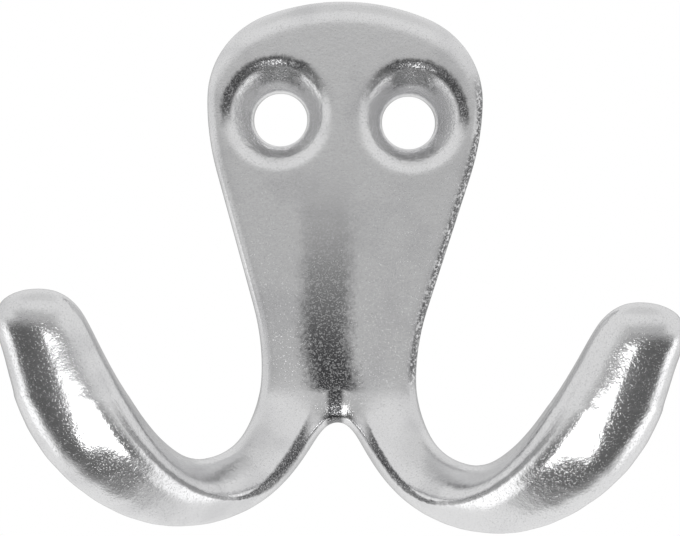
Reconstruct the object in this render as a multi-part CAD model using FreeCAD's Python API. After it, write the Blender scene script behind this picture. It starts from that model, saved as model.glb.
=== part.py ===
import FreeCAD, Part
import math
import os

V = FreeCAD.Vector

# Driving dimensions, in millimetres and degrees. The wall is the plane y = 0,
# the room lies toward -Y, and the origin is midway between the screw holes.

# Back plate
plate_width = 21.4
plate_head = 9.3
plate_thick = 3.6
head_arc_r = 17.0
corner_r = 7.0
shoulder_r = 20.0
neck_width = 12.0
neck_drop = 19.7
neck_r = 18.0
edge_round_head = 1.8
edge_round_side = 0.9

# Screw holes
hole_spacing = 10.0
hole_dia = 4.2
sink_dia = 8.0
sink_angle = 90.0
sink_out = 0.2
sink_up = 0.4
sink_rim_r = 0.6

# Prong curve: a heel arc down from the neck, a belly arc and a rise arc, all
# in an upright plane swung out from the wall.
swing = 45.0
heel_r = 8.8
heel_turn = 65.0
belly_r = 12.2
belly_turn = 110.0
rise_r = 17.0

# Prong sections: square in the belly, swelling to a flattened bulb
prong_size = 4.5
bulb_width = 7.7
bulb_depth = 5.6
tip_width = 6.6
tip_depth = 5.0
tip_turn = 163.0
dome_length = 4.3
dome_lean = 15.0
ridge_r = 0.6
oval = 0.94
root_run = 1.3
root_overlap = 0.9
rings_per_span = 2

near = 0.01
cut_run = 1.0


def plate_outline():
    """Closed outline of the plate, from its arched head down to the neck."""
    half = plate_width / 2
    neck = neck_width / 2
    head_c = V(0, 0, plate_head - head_arc_r)
    corner_x = half - corner_r
    corner_z = head_c.z + math.sqrt((head_arc_r - corner_r) ** 2 - corner_x ** 2)
    corner_c = V(corner_x, 0, corner_z)
    shoulder_c = V(half - shoulder_r, 0, corner_z)
    neck_c = V(neck + neck_r, 0, -neck_drop)
    lean = math.atan2(corner_x, corner_z - head_c.z)
    gap = neck_c - shoulder_c
    taper = math.atan2(-gap.z, gap.x) - math.acos((shoulder_r + neck_r) / gap.Length)

    def on(centre, radius, angle):
        return centre + V(radius * math.cos(angle), 0, radius * math.sin(angle))

    head_end = on(head_c, head_arc_r, math.pi / 2 - lean)
    corner_mid = on(corner_c, corner_r, (math.pi / 2 - lean) / 2)
    corner_end = V(half, 0, corner_z)
    shoulder_mid = on(shoulder_c, shoulder_r, -taper / 2)
    shoulder_end = on(shoulder_c, shoulder_r, -taper)
    neck_start = on(neck_c, neck_r, math.pi - taper)
    neck_mid = on(neck_c, neck_r, math.pi - taper / 2)
    neck_end = V(neck, 0, -neck_drop)
    flank = [
        Part.Arc(head_end, corner_mid, corner_end).toShape(),
        Part.Arc(corner_end, shoulder_mid, shoulder_end).toShape(),
        Part.makeLine(shoulder_end, neck_start),
        Part.Arc(neck_start, neck_mid, neck_end).toShape(),
    ]
    other = [edge.mirror(V(0, 0, 0), V(1, 0, 0)) for edge in flank]
    head = Part.Arc(V(-head_end.x, 0, head_end.z), V(0, 0, plate_head), head_end).toShape()
    foot = Part.makeLine(neck_end, V(-neck, 0, -neck_drop))
    return Part.Wire(Part.__sortEdges__(flank + other + [head, foot])), head_end.z


def plate():
    """Back plate, crisp against the wall, its front edge rounded most at the head."""
    outline, head_z = plate_outline()
    blank = Part.Face(outline).extrude(V(0, -plate_thick, 0))
    doc = FreeCAD.newDocument("plate")
    base = doc.addObject("Part::Feature", "blank")
    base.Shape = blank
    rounded = doc.addObject("Part::Fillet", "rounded")
    rounded.Base = base
    rounds = []
    for number, edge in enumerate(blank.Edges, 1):
        box = edge.BoundBox
        if box.YMax > near - plate_thick or box.ZMax < near - neck_drop:
            continue
        ends = [edge_round_head if v.Z > head_z - near else edge_round_side for v in edge.Vertexes]
        rounds.append((number, ends[0], ends[1]))
    rounded.Edges = rounds
    doc.recompute()
    shape = rounded.Shape.copy()
    FreeCAD.closeDocument(doc.Name)
    return shape


def spine(turn):
    """Point and section frame of the right prong once its curve has turned."""
    way = math.radians(swing)
    out = V(math.cos(way), -math.sin(way), 0)
    across = V(-math.sin(way), -math.cos(way), 0)
    up = V(0, 0, 1)
    point = V(neck_width / 4, -plate_thick / 2, -neck_drop)
    start = 0.0
    for radius, end in ((heel_r, heel_turn), (belly_r, belly_turn), (rise_r, 180.0)):
        a = math.radians(start)
        b = math.radians(max(start, min(turn, end)))
        point = point + out * (radius * (math.cos(a) - math.cos(b)))
        point = point - up * (radius * (math.sin(b) - math.sin(a)))
        start = end
    t = math.radians(turn)
    along = out * math.sin(t) - up * math.cos(t)
    inward = out * math.cos(t) + up * math.sin(t)
    front = inward * math.sin(way) + across * math.cos(way)
    side = inward * math.cos(way) - across * math.sin(way)
    return point, along, front, side


def corners(point, front, side, half, soft):
    """Control points of the four corner arcs of one prong section.

    half holds the half sizes toward the side, the middle and the front. soft
    holds how far the front side, front middle and back corners have gone from
    those of the plate (0) to an oval (1).
    """
    to_side, to_middle, deep = half

    def corner(sign_side, sign_front, wide, small, ease):
        square = point + side * (sign_side * wide) + front * (sign_front * deep)
        r_wide = (1 - ease) * small + ease * oval * wide
        r_deep = (1 - ease) * small + ease * oval * deep
        return [square - front * (sign_front * r_deep), square, square - side * (sign_side * r_wide)]

    return [
        corner(1, 1, to_side, edge_round_side, soft[0]),
        corner(-1, 1, to_middle, ridge_r, soft[1])[::-1],
        corner(-1, -1, to_middle, 0.0, soft[2]),
        corner(1, -1, to_side, 0.0, soft[2])[::-1],
    ]


def rail(points):
    """Smooth curve along the prong, guided by one point of each section."""
    spans = len(points) - 3
    knots = [float(i) for i in range(spans + 1)]
    curve = Part.BSplineCurve()
    curve.buildFromPolesMultsKnots(points, [4] + [1] * (spans - 1) + [4], knots, False, 3)
    return curve


def strip(lower, upper):
    """Ruled face between the matching edges of two neighbouring sections."""
    across = len(lower)
    weights = [1, math.sqrt(0.5), 1] if across == 3 else [1, 1]
    surface = Part.BSplineSurface()
    surface.buildFromPolesMultsKnots(
        [lower, upper],
        [2, 2],
        [across, across],
        [0.0, 1.0],
        [0.0, 1.0],
        False,
        False,
        1,
        across - 1,
        [weights, weights],
    )
    return surface.toShape()


def section_edges(arcs):
    """Edges of a section as control points: each corner arc, then a flat."""
    edges = []
    for i, arc in enumerate(arcs):
        edges.append(arc)
        edges.append([arc[2], arcs[(i + 1) % 4][0]])
    return edges


def section_face(arcs):
    """Flat face that closes the prong at one section."""
    edges = []
    for points in section_edges(arcs):
        if points[0].isEqual(points[-1], near):
            continue
        curve = Part.BezierCurve()
        curve.setPoles(points)
        if len(points) == 3:
            curve.setWeight(2, math.sqrt(0.5))
        edges.append(curve.toShape())
    return Part.Face(Part.Wire(edges))


def prong():
    """Right prong, cut on the middle plane of the hook.

    It leaves the neck straight down with the section of the plate, so the two
    flow together. Below the neck its middle wall swings away from the middle
    plane, so the two prongs part in a rounded arch.

    Each section is given by the turn of the curve there, the half sizes toward
    the side, the middle and the front, and the softness of its corners.
    """
    neck = neck_width / 4
    thin = plate_thick / 2
    size = prong_size / 2
    bulb = bulb_width / 2
    bulb_d = bulb_depth / 2
    tip = tip_width / 2
    tip_d = tip_depth / 2
    sections = [
        (17.0, neck * 1.00, neck * 1.42, thin * 1.01, (0.00, 0.00, 0.10)),
        (18.5, neck * 1.00, neck * 1.02, thin * 1.01, (0.01, 0.14, 0.15)),
        (22.0, neck * 1.00, neck * 0.83, thin * 1.02, (0.02, 0.24, 0.25)),
        (32.0, size * 1.31, size * 0.99, thin * 1.07, (0.04, 0.22, 0.40)),
        (50.0, size * 1.18, size * 0.96, size * 0.91, (0.10, 0.14, 0.58)),
        (70.0, size * 1.07, size * 0.98, size * 0.98, (0.20, 0.12, 0.68)),
        (90.0, size * 1.04, size * 1.01, size * 1.03, (0.32, 0.16, 0.75)),
        (106.0, bulb_d * 0.86, bulb_d * 0.86, bulb * 0.72, (0.48, 0.28, 0.82)),
        (122.0, bulb_d * 0.93, bulb_d * 0.95, bulb * 0.87, (0.68, 0.48, 0.90)),
        (138.0, bulb_d * 1.00, bulb_d * 1.02, bulb * 1.00, (0.86, 0.75, 0.96)),
        (152.0, bulb_d * 1.00, bulb_d * 1.02, bulb * 0.97, (1.00, 1.00, 1.00)),
        (tip_turn, tip_d, tip_d, tip, (1.00, 1.00, 1.00)),
    ]
    point, along, front, side = spine(0.0)
    root = (neck, neck + root_overlap, thin)
    rings = [corners(point, front, side, root, (0, 0, 0))]
    rings.append(corners(point + along * root_run, front, side, root, (0, 0, 0)))
    for turn, to_side, to_middle, deep, soft in sections:
        point, along, front, side = spine(turn)
        rings.append(corners(point, front, side, (to_side, to_middle, deep), soft))
    rise = spine(tip_turn - dome_lean)[1] * dome_length
    for lift, scale in ((0.35, 1.0), (0.75, 0.9), (1.0, 0.5), (1.0, 0.2)):
        half = (scale * tip_d, scale * tip_d, scale * tip)
        rings.append(corners(point + rise * lift, front, side, half, (1, 1, 1)))
    rails = [[rail([ring[c][p] for ring in rings]) for p in range(3)] for c in range(4)]
    steps = rings_per_span * (len(rings) - 3)
    cuts = []
    for step in range(steps + 1):
        u = step / rings_per_span
        cuts.append([[curve.value(u) for curve in arc] for arc in rails])
    faces = [section_face(cuts[0]), section_face(cuts[-1])]
    for lower, upper in zip(cuts, cuts[1:]):
        for low, high in zip(section_edges(lower), section_edges(upper)):
            faces.append(strip(low, high))
    shell = Part.Shell(faces)
    shell.sewShape()
    reach = plate_width + 2 * (heel_r + belly_r + rise_r)
    room = Part.makeBox(reach, 2 * reach, 2 * reach, V(0, -reach, -reach))
    return Part.Solid(shell).common(room)


def screw_hole(side):
    """Bore on one side, with a countersink cast a little up and out from it.

    The countersink is turned from a profile of radii and heights over the
    front of the plate. A small arc leads its wall out into the front.
    """
    x = side * hole_spacing / 2
    axis = V(0, -1, 0)
    half = math.radians(sink_angle / 2)
    wall_h = sink_rim_r * (math.sin(half) - 1)
    wall_r = sink_dia / 2 + wall_h * math.tan(half)
    rim_r = wall_r + sink_rim_r * math.cos(half)
    middle = math.pi * 3 / 4 - half / 2
    arc_r = rim_r + sink_rim_r * math.cos(middle)
    arc_h = sink_rim_r * (math.sin(middle) - 1)
    foot = V(x + side * sink_out, -plate_thick, sink_up)

    def at(radius, height):
        return foot + V(radius, 0, 0) + axis * height

    point = at(0, -sink_dia / 2 / math.tan(half))
    outline = [
        Part.makeLine(point, at(wall_r, wall_h)),
        Part.Arc(at(wall_r, wall_h), at(arc_r, arc_h), at(rim_r, 0)).toShape(),
        Part.makeLine(at(rim_r, 0), at(rim_r, cut_run)),
        Part.makeLine(at(rim_r, cut_run), at(0, cut_run)),
        Part.makeLine(at(0, cut_run), point),
    ]
    sink = Part.Face(Part.Wire(outline)).revolve(foot, axis, 360)
    bore = Part.makeCylinder(hole_dia / 2, plate_thick + 2 * cut_run, V(x, cut_run, 0), axis)
    return bore.fuse(sink)


def double_hook():
    """Plate and both prongs as one casting, with its two screw holes."""
    right = prong()
    left = right.mirror(V(0, 0, 0), V(1, 0, 0))
    body = plate().fuse([right, left]).removeSplitter()
    return body.cut([screw_hole(1), screw_hole(-1)])


hook = double_hook()
os.makedirs("parts", exist_ok=True)
hook.exportStep("parts/double_hook.step")
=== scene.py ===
"""Double robe hook in bright plated zinc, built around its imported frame."""

import math

import bmesh
import bpy
from bpy.props import FloatProperty, FloatVectorProperty, IntProperty, PointerProperty
from mathutils import Matrix, Vector


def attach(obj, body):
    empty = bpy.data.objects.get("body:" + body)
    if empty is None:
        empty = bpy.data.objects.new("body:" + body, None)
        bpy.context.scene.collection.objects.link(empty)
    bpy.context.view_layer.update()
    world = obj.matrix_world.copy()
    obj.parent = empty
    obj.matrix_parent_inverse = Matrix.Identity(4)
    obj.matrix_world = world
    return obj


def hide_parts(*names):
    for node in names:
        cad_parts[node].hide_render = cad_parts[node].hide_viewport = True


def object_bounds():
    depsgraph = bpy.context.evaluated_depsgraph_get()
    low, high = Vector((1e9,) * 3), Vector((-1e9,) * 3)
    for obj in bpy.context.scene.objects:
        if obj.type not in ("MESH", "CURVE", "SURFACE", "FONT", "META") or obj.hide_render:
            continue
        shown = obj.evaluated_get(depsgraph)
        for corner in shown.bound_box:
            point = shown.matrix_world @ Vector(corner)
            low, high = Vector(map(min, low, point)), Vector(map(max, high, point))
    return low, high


bl_info = {
    "name": "Double Robe Hook",
    "version": (1, 0, 0),
    "blender": (4, 5, 0),
    "location": "View3D > Sidebar > Robe Hook",
    "description": "Builds a bright plated double robe hook and its studio",
    "category": "Object",
}

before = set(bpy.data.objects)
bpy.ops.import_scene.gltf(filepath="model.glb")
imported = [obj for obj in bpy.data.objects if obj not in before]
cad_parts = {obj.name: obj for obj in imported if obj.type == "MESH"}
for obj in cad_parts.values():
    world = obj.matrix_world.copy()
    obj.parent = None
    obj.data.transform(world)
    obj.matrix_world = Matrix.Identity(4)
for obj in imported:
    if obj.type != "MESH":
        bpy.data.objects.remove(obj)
cad_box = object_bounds()

NODE = "double_hook"
BODY = "root"
MILLIMETRES = 1000.0

# The camera's focal length in pixels of the picture, and its sensor in millimetres.
IMAGE_WIDTH = 680
FOCUS_PIXELS = 2415.0
SENSOR_WIDTH = 36.0

# Middle of each countersink, and the height at which the plate turns into the prongs.
BOWL_OUT = 0.0052
BOWL_UP = 0.0004
FOLD_Z = -0.0207

# A Mix node has several sockets of one name, so its colour sockets go by number.
COLOR_A = 6
COLOR_B = 7
COLOR_RESULT = 2


class Signal:
    """A node socket that can be used in Python arithmetic."""

    def __init__(self, tree, socket=None):
        self.tree = tree
        self.socket = socket

    def node(self, kind, settings, sockets, *outputs):
        """Add a node, apply its settings, set or link its sockets and give its outputs."""
        made = self.tree.nodes.new(kind)
        for name, value in settings.items():
            setattr(made, name, value)
        for name, value in sockets.items():
            if isinstance(value, Signal):
                self.tree.links.new(value.socket, made.inputs[name])
            else:
                made.inputs[name].default_value = value
        if not made.outputs:
            return None
        given = [Signal(self.tree, made.outputs[name]) for name in outputs or (0,)]
        return given[0] if len(given) == 1 else given

    def math(self, operation, *values):
        return self.node("ShaderNodeMath", {"operation": operation}, dict(enumerate(values)))

    def step(self, low, high):
        """Rise smoothly from 0 at low to 1 at high; low may be the larger."""
        sockets = {"Value": self, "From Min": low, "From Max": high}
        return self.node("ShaderNodeMapRange", {"interpolation_type": "SMOOTHSTEP"}, sockets)

    def largest(self, other):
        return self.math("MAXIMUM", self, other)

    def toward(self, value, amount):
        """Move from this value to another by an amount between 0 and 1."""
        return self + (value - self) * amount

    def split(self):
        """The three components of a vector signal."""
        return self.node("ShaderNodeSeparateXYZ", {}, {"Vector": self}, "X", "Y", "Z")

    def __add__(self, other):
        return self.math("ADD", self, other)

    def __sub__(self, other):
        return self.math("SUBTRACT", self, other)

    def __rsub__(self, other):
        return self.math("SUBTRACT", other, self)

    def __mul__(self, other):
        return self.math("MULTIPLY", self, other)

    def __truediv__(self, other):
        return self.math("DIVIDE", self, other)

    def __pow__(self, other):
        return self.math("POWER", self, other)

    def __abs__(self):
        return self.math("ABSOLUTE", self)

    __radd__ = __add__
    __rmul__ = __mul__


def new_material(name):
    """An empty node material and the signal that starts its nodes."""
    material = bpy.data.materials.new(name)
    material.use_nodes = True
    material.node_tree.nodes.clear()
    return material, Signal(material.node_tree)


def mixed(start, factor, first, second):
    """Colour between two colours, by a factor."""
    sockets = {"Factor": factor, COLOR_A: first, COLOR_B: second}
    return start.node("ShaderNodeMix", {"data_type": "RGBA"}, sockets, COLOR_RESULT)


def put(name, mesh):
    """Link a mesh into the scene as an object at the origin."""
    piece = bpy.data.objects.new(name, mesh)
    bpy.context.scene.collection.objects.link(piece)
    return piece


class HookSettings(bpy.types.PropertyGroup):
    """Sizes of the hook's skin."""

    voxel: FloatProperty(
        name="Skin Grain",
        description="Spacing of the skin's points",
        default=0.0002,
        unit="LENGTH",
    )
    plate_ease: IntProperty(
        name="Plate Easing",
        description="Rounds of smoothing over the whole casting",
        default=6,
    )
    prong_ease: IntProperty(
        name="Prong Easing",
        description="Further rounds of smoothing below the neck",
        default=30,
    )
    bowl_ease: IntProperty(
        name="Bowl Easing",
        description="Further rounds of smoothing in the countersinks",
        default=18,
    )
    tip_ease: IntProperty(
        name="Tip Easing",
        description="Further rounds of smoothing over the rounded tips",
        default=40,
    )
    ridge_ease: IntProperty(
        name="Ridge Easing",
        description="Further rounds of smoothing where the prongs part",
        default=50,
    )
    fold_ease: IntProperty(
        name="Fold Easing",
        description="Further rounds of smoothing, in depth, where the plate turns into the prongs",
        default=160,
    )
    ridge_reach: FloatProperty(
        name="Ridge Reach",
        description="Distance from the middle to which the ridges are eased",
        default=0.016,
        unit="LENGTH",
    )
    neck_z: FloatProperty(
        name="Neck Height",
        description="Height below which the prongs are smoothed further",
        default=-0.0175,
        unit="LENGTH",
    )
    neck_blend: FloatProperty(
        name="Neck Blend",
        description="Height over which the further smoothing sets in",
        default=0.005,
        unit="LENGTH",
    )


class PlatingSettings(bpy.types.PropertyGroup):
    """Colours and texture of the bright plating."""

    bright: FloatVectorProperty(
        name="Bright Plating",
        description="Colour of the clean plating",
        subtype="COLOR",
        default=(0.86, 0.86, 0.865),
    )
    dull: FloatVectorProperty(
        name="Dull Plating",
        description="Colour of the grey patches in the plating",
        subtype="COLOR",
        default=(0.70, 0.70, 0.71),
    )
    # Also the colour of the painted dark reflections on the plate, ridges and countersinks, and of
    # the painted shade in the arch.
    dark: FloatVectorProperty(
        name="Cast Streak",
        description="Colour of the grainy streak and the other dark stains",
        subtype="COLOR",
        default=(0.05, 0.05, 0.053),
    )
    roughness: FloatProperty(
        name="Roughness",
        description="Roughness of the clean plating",
        default=0.17,
        subtype="FACTOR",
    )
    peel_depth: FloatProperty(
        name="Orange Peel",
        description="Depth of the orange-peel texture",
        default=0.000024,
        unit="LENGTH",
    )


class StageSettings(bpy.types.PropertyGroup):
    """Floor and camera."""

    floor_drop: FloatProperty(
        name="Floor Drop",
        description="Height of the hook above the floor",
        default=0.035,
        unit="LENGTH",
    )
    floor_radius: FloatProperty(
        name="Floor Radius",
        description="Radius of the round floor",
        default=0.24,
        unit="LENGTH",
    )
    floor_color: FloatVectorProperty(
        name="Floor",
        description="Colour of the floor",
        subtype="COLOR",
        default=(0.82, 0.82, 0.82),
    )
    camera_side: FloatProperty(
        name="Camera Offset",
        description="Distance of the camera to the right of the hook's middle",
        default=-0.0001,
        unit="LENGTH",
    )
    camera_distance: FloatProperty(
        name="Camera Distance",
        description="Distance of the camera from the wall face",
        default=0.190,
        unit="LENGTH",
    )
    camera_height: FloatProperty(
        name="Camera Height",
        description="Height of the camera above the screw holes",
        default=-0.01147,
        unit="LENGTH",
    )
    camera_focus: FloatProperty(
        name="Focal Length",
        description="Focal length in image widths",
        default=FOCUS_PIXELS / IMAGE_WIDTH,
    )
    camera_roll: FloatProperty(
        name="Camera Roll",
        description="Tilt of the camera about its line of sight",
        default=math.radians(1.3),
        subtype="ANGLE",
    )


# The stains and the painted reflections and shade below are drawn in millimetres. Each pair of
# numbers is a fade:
# the place where a mark is absent, then the place where it is full.


def streak_mask(x, y, z, ragged):
    """Grainy streak down the plate whose darkening is a painted dark reflection, with a narrow
    stem of painted shade on into the arch.
    """
    half_width = 2.1
    shift = 0.36
    lean = 0.75
    lean_fade = (-20.8, -17.0)
    side_ragged = 0.8
    side_fade = (1.30, 0.45)
    foot_ragged = 0.4
    foot_fade = (-21.2, -20.7)
    # Painted reflection: the streak is painted darker down the plate, where the face turns up.
    reflection_darkening = (-2.0, -20.0)
    plate_front = (-3.2, -3.5)
    middle = x + shift + lean * z.step(*lean_fade)
    across = ((abs(middle) + ragged * side_ragged) / half_width).step(*side_fade)
    ends = (z + ragged * foot_ragged).step(*foot_fade) * y.step(*plate_front)
    streak = across * ends * z.step(*reflection_darkening)

    # The stem is painted shade in the groove between the prongs, which also hides a glint there.
    stem_shift = 0.25
    stem_side = (0.85, 0.40)
    stem_foot = (-24.3, -23.5)
    stem_head = (-20.4, -21.0)
    stem_front = (-0.6, -1.2)
    stem_shade = abs(x + stem_shift).step(*stem_side) * z.step(*stem_foot) * z.step(*stem_head)
    return streak.largest(stem_shade * y.step(*stem_front))


def ridge_reflection_mask(x, y, z, ragged):
    """Painted dark reflection along the front ridge of each prong, a parabola when seen from the
    front.
    """
    low_out = 7.35
    low_z = -28.98
    outer_bend = 0.098
    arch_bend = 0.087
    arch_fade = (7.6, 7.1)
    out = abs(x)
    arch = out.step(*arch_fade)
    away = out - low_out
    bend = outer_bend + arch_bend * arch
    slope = 2 * bend * away
    off_line = (z - low_z - bend * away * away) / ((1 + slope * slope) ** 0.5)

    line_up = 0.15
    thin = 0.20
    arch_gain = 0.15
    left_gain = 0.22
    left_fade = (0.5, -0.5)
    gain_fade = (7.0, 4.5)
    line_ragged = 0.12
    line_fade = (1.1, 0.5)
    reach = thin + (arch_gain + left_gain * x.step(*left_fade)) * out.step(*gain_fade)
    line = ((abs(off_line - line_up) + ragged * line_ragged) / reach).step(*line_fade)

    outer_strength = 0.6
    arch_strength = 0.3
    inner_end = (1.8, 2.8)
    outer_end = (16.5, 14.5)
    front = (-0.8, -1.4)
    face_slant = 1.62
    face_start = 6.62
    face_fade = (1.5, 0.8)
    strength = outer_strength + arch_strength * arch
    line = line * out.step(*inner_end) * out.step(*outer_end) * strength
    return line * y.step(*front) * (y + face_slant * out - face_start).step(*face_fade)


def rim_reflection_mask(bowl_x, bowl_z, bowl, y, ragged):
    """Painted dark reflection on the upper rim of each countersink, which also hides the low
    lamp's glint there.
    """
    inside = (3.45, 3.75)
    outside = (4.6, 4.2)
    outside_ragged = 0.3
    outward = 0.6
    upper = (0.8, 2.8)
    front = (-2.4, -2.8)
    ring = bowl.step(*inside) * (bowl + ragged * outside_ragged).step(*outside)
    return ring * (bowl_z + bowl_x * outward).step(*upper) * y.step(*front)


def wall_reflection_mask(bowl_x, bowl_z, bowl, y, ragged):
    """Painted dark reflection on the upper wall of each countersink."""
    inside = (2.3, 2.7)
    outside = (4.1, 3.7)
    side = (2.0, 1.0)
    upper = (1.0, 2.0)
    front = (-1.2, -1.7)
    ring = bowl.step(*inside) * bowl.step(*outside) * y.step(*front)
    return ring * (abs(bowl_x) + ragged).step(*side) * bowl_z.step(*upper)


def edge_mask(x, y, z, bowl, grain):
    """Speckled dark band along the right edge of the plate."""
    front = (-3.59, -3.42)
    back = (-2.3, -2.9)
    right = (3.0, 4.5)
    off_bowl = (4.8, 5.2)
    foot = (-21.5, -19.0)
    head = (4.5, 1.5)
    speckle = (0.36, 0.52)
    band = y.step(*front) * y.step(*back) * x.step(*right) * bowl.step(*off_bowl)
    return band * z.step(*foot) * z.step(*head) * grain.step(*speckle)


def stain_and_reflection_mask(x, y, z, grain, ragged):
    """All the dark marks of the casting together: its stains, and the painted reflections and
    painted shade.
    """
    rim_strength = 0.9
    wall_strength = 0.6
    edge_strength = 0.85
    bowl_x = abs(x) - BOWL_OUT * MILLIMETRES
    bowl_z = z - BOWL_UP * MILLIMETRES
    bowl = (bowl_x * bowl_x + bowl_z * bowl_z) ** 0.5
    stain_and_reflection = streak_mask(x, y, z, ragged).largest(ridge_reflection_mask(x, y, z, ragged))
    stain_and_reflection = stain_and_reflection.largest(rim_reflection_mask(bowl_x, bowl_z, bowl, y, ragged) * rim_strength)
    stain_and_reflection = stain_and_reflection.largest(wall_reflection_mask(bowl_x, bowl_z, bowl, y, ragged) * wall_strength)
    return stain_and_reflection.largest(edge_mask(x, y, z, bowl, grain) * edge_strength)


def plating_material(settings):
    """Bright plating with orange peel, the dark stains of the casting, and painted dark
    reflections and shade.
    """
    material, start = new_material("bright_plating")
    place = start.node("ShaderNodeTexCoord", {}, {}, "Object")
    place = start.node(
        "ShaderNodeVectorMath", {"operation": "SCALE"}, {0: place, "Scale": MILLIMETRES}
    )
    x, y, z = place.split()

    def noise(scale, detail):
        sockets = {"Vector": place, "Scale": scale, "Detail": detail}
        return start.node("ShaderNodeTexNoise", {}, sockets, "Fac")

    noise_middle = 0.5
    grain_ragged = 1.6
    peel_ragged = 1.2
    speck_fade = (0.60, 0.70)
    cloud = noise(scale=0.22, detail=2.0)
    peel = noise(scale=1.5, detail=1.5)
    grain = noise(scale=4.2, detail=2.0)
    fine = noise(scale=9.0, detail=2.0)
    specks = noise(scale=7.5, detail=1.0).step(*speck_fade)
    ragged = (grain - noise_middle) * grain_ragged + (peel - noise_middle) * peel_ragged

    fleck_share = 0.55
    fleck_fade = (0.50, 0.64)
    # The stains and the painted reflections and shade, broken up by fine flecks.
    stain_and_reflection = stain_and_reflection_mask(x, y, z, grain, ragged) * (1 - fleck_share * fine.step(*fleck_fade))

    cloud_dulls = 0.6
    fine_dulls = 0.4
    cloud_dull_fade = (0.45, 0.70)
    fine_dull_fade = (0.35, 0.75)
    stain_and_reflection_darkens = 0.97
    specks_darken = 0.10
    dulled = cloud.step(*cloud_dull_fade) * cloud_dulls + fine.step(*fine_dull_fade) * fine_dulls
    plating = mixed(start, dulled, (*settings.bright, 1), (*settings.dull, 1))
    # The dark colour goes on the stains, the painted reflections and shade, and the specks.
    darkened = stain_and_reflection * stain_and_reflection_darkens + specks * specks_darken
    tone = mixed(start, darkened, plating, (*settings.dark, 1))

    cloud_roughens = 0.06
    stain_and_reflection_roughens = 0.20
    cloud_rough_fade = (0.40, 0.75)
    rough = settings.roughness + cloud.step(*cloud_rough_fade) * cloud_roughens
    rough = rough + stain_and_reflection * stain_and_reflection_roughens

    peel_height = 0.6
    grain_height = 0.45
    fine_height = 0.15
    stain_and_reflection_height = 0.20
    speck_height = 0.22
    height = peel * peel_height + grain * grain_height
    height = height + fine * (fine_height + stain_and_reflection * stain_and_reflection_height) + specks * speck_height
    bump = start.node(
        "ShaderNodeBump",
        {},
        {"Height": height, "Strength": 1.0, "Distance": settings.peel_depth},
    )
    shader = start.node(
        "ShaderNodeBsdfPrincipled",
        {},
        {"Base Color": tone, "Metallic": 1.0, "Roughness": rough, "Normal": bump},
    )
    start.node("ShaderNodeOutputMaterial", {}, {"Surface": shader})
    return material


def voxel_skin(context, shape, voxel):
    """A closed skin of evenly spaced points over a node's mesh."""
    weld_share = 0.01
    core = bmesh.new()
    core.from_mesh(shape)
    bmesh.ops.remove_doubles(core, verts=core.verts, dist=voxel * weld_share)
    mesh = bpy.data.meshes.new("casting_core")
    core.to_mesh(mesh)
    core.free()
    blank = put("casting_core", mesh)
    remesh = blank.modifiers.new("skin", "REMESH")
    remesh.mode = "VOXEL"
    remesh.voxel_size = voxel
    context.view_layer.update()
    shown = blank.evaluated_get(context.evaluated_depsgraph_get())
    skin = bpy.data.meshes.new_from_object(shown)
    bpy.data.objects.remove(blank)
    return skin


def ease(skin, points, rounds, taken, axes="xyz"):
    """Smooth the points that are taken; part runs from 0 toward 1 over the rounds."""
    for turn in range(rounds):
        part = turn / rounds
        bmesh.ops.smooth_vert(
            skin,
            verts=[point for point in points if taken(point.co, part)],
            factor=0.5,
            use_axis_x="x" in axes,
            use_axis_y="y" in axes,
            use_axis_z="z" in axes,
        )


def ease_casting(skin, settings):
    """Ease the steps out of the skin, more where the casting is rounder.

    Each zone draws in as its rounds go on, so that its border doesn't show.
    """
    prong_front = -0.0065
    bowl_front = -0.0022
    bowl_reach = 0.0047
    bowl_blend = 0.0006
    ridge_blend = 0.0015
    ridge_taper = 0.3
    fold_facing = -0.7
    fold_half_width = 0.0049
    fold_reach = 0.0032
    fold_taper = 0.4
    tip_front = -0.0155
    tip_blend = 0.002
    tip_bottom = -0.021

    def everywhere(place, part):
        return True

    def prongs(place, part):
        return place.z < settings.neck_z - settings.neck_blend * part or place.y < prong_front

    def bowls(place, part):
        off_middle = math.hypot(abs(place.x) - BOWL_OUT, place.z - BOWL_UP)
        return place.y < bowl_front and off_middle < bowl_reach - bowl_blend * part

    def ridges(place, part):
        reach = settings.ridge_reach * (1 - ridge_taper * part)
        return place.z < FOLD_Z - ridge_blend * part and abs(place.x) < reach

    def fold(place, part):
        return abs(place.z - FOLD_Z) < fold_reach * (1 - fold_taper * part)

    def tips(place, part):
        return place.y < tip_front - tip_blend * part and place.z > tip_bottom

    ease(skin, skin.verts, settings.plate_ease, everywhere)
    ease(skin, skin.verts, settings.prong_ease, prongs)
    ease(skin, skin.verts, settings.bowl_ease, bowls)
    ease(skin, skin.verts, settings.ridge_ease, ridges)
    skin.normal_update()
    front = [
        point
        for point in skin.verts
        if point.normal.y < fold_facing and abs(point.co.x) < fold_half_width
    ]
    ease(skin, front, settings.fold_ease, fold, axes="y")
    ease(skin, skin.verts, settings.tip_ease, tips)


class ROBEHOOK_OT_casting(bpy.types.Operator):
    """Build the plated casting over its CAD node"""

    bl_idname = "robehook.casting"
    bl_label = "Casting"

    def execute(self, context):
        settings = context.scene.robe_hook
        mesh = voxel_skin(context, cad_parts[NODE].data, settings.voxel)
        skin = bmesh.new()
        skin.from_mesh(mesh)
        ease_casting(skin, settings)
        for face in skin.faces:
            face.smooth = True
        skin.to_mesh(mesh)
        skin.free()
        if not mesh.polygons:
            raise RuntimeError("the casting has no skin")
        mesh.name = "casting"
        casting = put("casting", mesh)
        mesh.materials.clear()
        mesh.materials.append(plating_material(context.scene.robe_plating))
        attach(casting, BODY)
        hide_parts(NODE)
        return {"FINISHED"}


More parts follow.
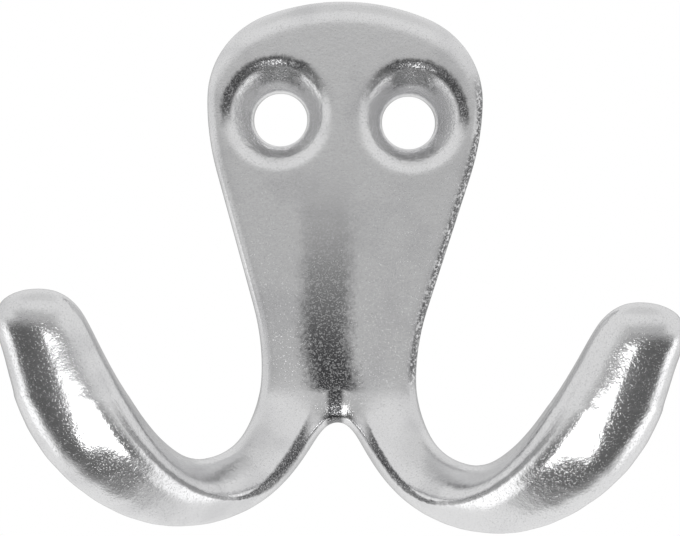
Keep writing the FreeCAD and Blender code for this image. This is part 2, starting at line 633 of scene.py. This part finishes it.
def studio_level(side, back, up):
    """Light that the metal mirrors from a direction, given by its parts sideways, back and up.

    The room is grey and lighter above. Below it has a light card at the back, a dim patch
    underneath, a dark card in front and a bright card on each side.
    """
    wall_level = 0.49
    upper_gain = 0.29
    ceiling_loss = 0.10
    above = (-0.02, 0.50)
    beside = (0.45, 0.85)
    overhead = (0.80, 0.97)
    lift = up.step(*above).largest(side.step(*beside))
    room = wall_level + upper_gain * lift - ceiling_loss * up.step(*overhead)

    back_level = 0.85
    back_up = (-0.10, -0.50)
    back_depth = (0.0, 0.18)
    back_card = up.step(*back_up) * back.step(*back_depth)

    under_level = 0.30
    under_up = (-0.70, -0.92)
    under_depth = (0.14, 0.0)
    under_side = (0.35, 0.20)
    under_patch = up.step(*under_up) * back.step(*under_depth) * side.step(*under_side)

    front_level = 0.12
    front_up = (-0.06, -0.58)
    front_depth = (-0.02, -0.22)
    front_card = up.step(*front_up) * back.step(*front_depth)

    side_level = 1.35
    side_up = (-0.20, -0.40)
    side_out = (0.42, 0.60)
    side_near = (-0.26, -0.10)
    side_far = (0.25, 0.10)
    side_card = up.step(*side_up) * side.step(*side_out)
    side_card = side_card * back.step(*side_near) * back.step(*side_far)

    room = room.toward(back_level, back_card).toward(under_level, under_patch)
    return room.toward(front_level, front_card).toward(side_level, side_card)


def studio_world():
    """White backdrop for the camera and a soft studio for the metal."""
    world = bpy.data.worlds.new("studio")
    bpy.context.scene.world = world
    world.use_nodes = True
    world.node_tree.nodes.clear()
    start = Signal(world.node_tree)
    seen, mirrored = start.node(
        "ShaderNodeLightPath", {}, {}, "Is Camera Ray", "Is Glossy Ray"
    )
    across, back, up = start.node("ShaderNodeTexCoord", {}, {}, "Generated").split()
    studio = studio_level(abs(across), back, up)
    fill = 0.75
    level = seen + (1 - seen) * (mirrored * studio + (1 - mirrored) * fill)
    shade = start.node("ShaderNodeBackground", {}, {"Color": (1, 1, 1, 1), "Strength": level})
    start.node("ShaderNodeOutputWorld", {}, {"Surface": shade})


def lamp(name, power, size, place, target):
    """A soft lamp aimed at a point, out of the camera's sight."""
    data = bpy.data.lights.new(name, "AREA")
    data.shape = "RECTANGLE"
    data.energy = power
    data.size, data.size_y = size
    made = bpy.data.objects.new(name, data)
    made.location = place
    made.rotation_euler = (Vector(target) - Vector(place)).to_track_quat("-Z", "Y").to_euler()
    made.visible_camera = False
    bpy.context.scene.collection.objects.link(made)
    return made


def stage_floor(settings, height):
    """Round matt floor at a height, which the metal doesn't mirror."""
    disc = bmesh.new()
    bmesh.ops.create_circle(
        disc, cap_ends=True, cap_tris=False, segments=96, radius=settings.floor_radius
    )
    bmesh.ops.translate(disc, verts=disc.verts, vec=(0, 0, height))
    mesh = bpy.data.meshes.new("floor")
    disc.to_mesh(mesh)
    disc.free()
    floor = put("floor", mesh)
    material, start = new_material("floor_card")
    matt = start.node(
        "ShaderNodeBsdfDiffuse", {}, {"Color": (*settings.floor_color, 1), "Roughness": 0.5}
    )
    start.node("ShaderNodeOutputMaterial", {}, {"Surface": matt})
    mesh.materials.append(material)
    floor.visible_glossy = False


def stage_camera(scene, settings):
    """Camera in front of the hook, level and square to the wall apart from its roll."""
    view = bpy.data.cameras.new("camera")
    view.sensor_width = SENSOR_WIDTH
    view.lens = view.sensor_width * settings.camera_focus
    view.clip_start = 0.01
    view.clip_end = 10.0
    camera = bpy.data.objects.new("camera", view)
    scene.collection.objects.link(camera)
    stand = Matrix.Translation(
        (settings.camera_side, -settings.camera_distance, settings.camera_height)
    )
    aim = Matrix.Rotation(math.pi / 2, 4, "X") @ Matrix.Rotation(settings.camera_roll, 4, "Z")
    camera.matrix_world = stand @ aim
    scene.camera = camera


class ROBEHOOK_OT_stage(bpy.types.Operator):
    """Build the floor, the lamps, the backdrop and the camera"""

    bl_idname = "robehook.stage"
    bl_label = "Stage"

    def execute(self, context):
        settings = context.scene.robe_stage
        low, high = cad_box
        middle = (low + high) / 2
        stage_floor(settings, low.z - settings.floor_drop)
        top_lamp = lamp(
            "top_lamp",
            power=0.9,
            size=(0.20, 0.20),
            place=(0.05, -0.12, 0.32),
            target=middle,
        )
        top_lamp.visible_glossy = False
        lamp(
            "low_lamp",
            power=0.0115,
            size=(0.032, 0.036),
            place=(0.0, -0.053, -0.0535),
            target=middle,
        )
        studio_world()
        stage_camera(context.scene, settings)
        context.scene.view_settings.view_transform = "Standard"
        return {"FINISHED"}


class ROBEHOOK_PT_panel(bpy.types.Panel):
    """Lists the hook's settings and build steps"""

    bl_idname = "ROBEHOOK_PT_panel"
    bl_label = "Robe Hook"
    bl_space_type = "VIEW_3D"
    bl_region_type = "UI"
    bl_category = "Robe Hook"

    def draw(self, context):
        scene = context.scene
        for group, operator in (
            (scene.robe_hook, ROBEHOOK_OT_casting),
            (scene.robe_plating, None),
            (scene.robe_stage, ROBEHOOK_OT_stage),
        ):
            box = self.layout.box()
            for name in group.__annotations__:
                box.prop(group, name)
            if operator:
                box.operator(operator.bl_idname)


CLASSES = (
    HookSettings,
    PlatingSettings,
    StageSettings,
    ROBEHOOK_OT_casting,
    ROBEHOOK_OT_stage,
    ROBEHOOK_PT_panel,
)


def register():
    for cls in CLASSES:
        bpy.utils.register_class(cls)
    bpy.types.Scene.robe_hook = PointerProperty(type=HookSettings)
    bpy.types.Scene.robe_plating = PointerProperty(type=PlatingSettings)
    bpy.types.Scene.robe_stage = PointerProperty(type=StageSettings)


def unregister():
    del bpy.types.Scene.robe_stage
    del bpy.types.Scene.robe_plating
    del bpy.types.Scene.robe_hook
    for cls in reversed(CLASSES):
        bpy.utils.unregister_class(cls)


def main():
    register()
    bpy.ops.robehook.casting()
    bpy.ops.robehook.stage()


if __name__ == "__main__":
    main()
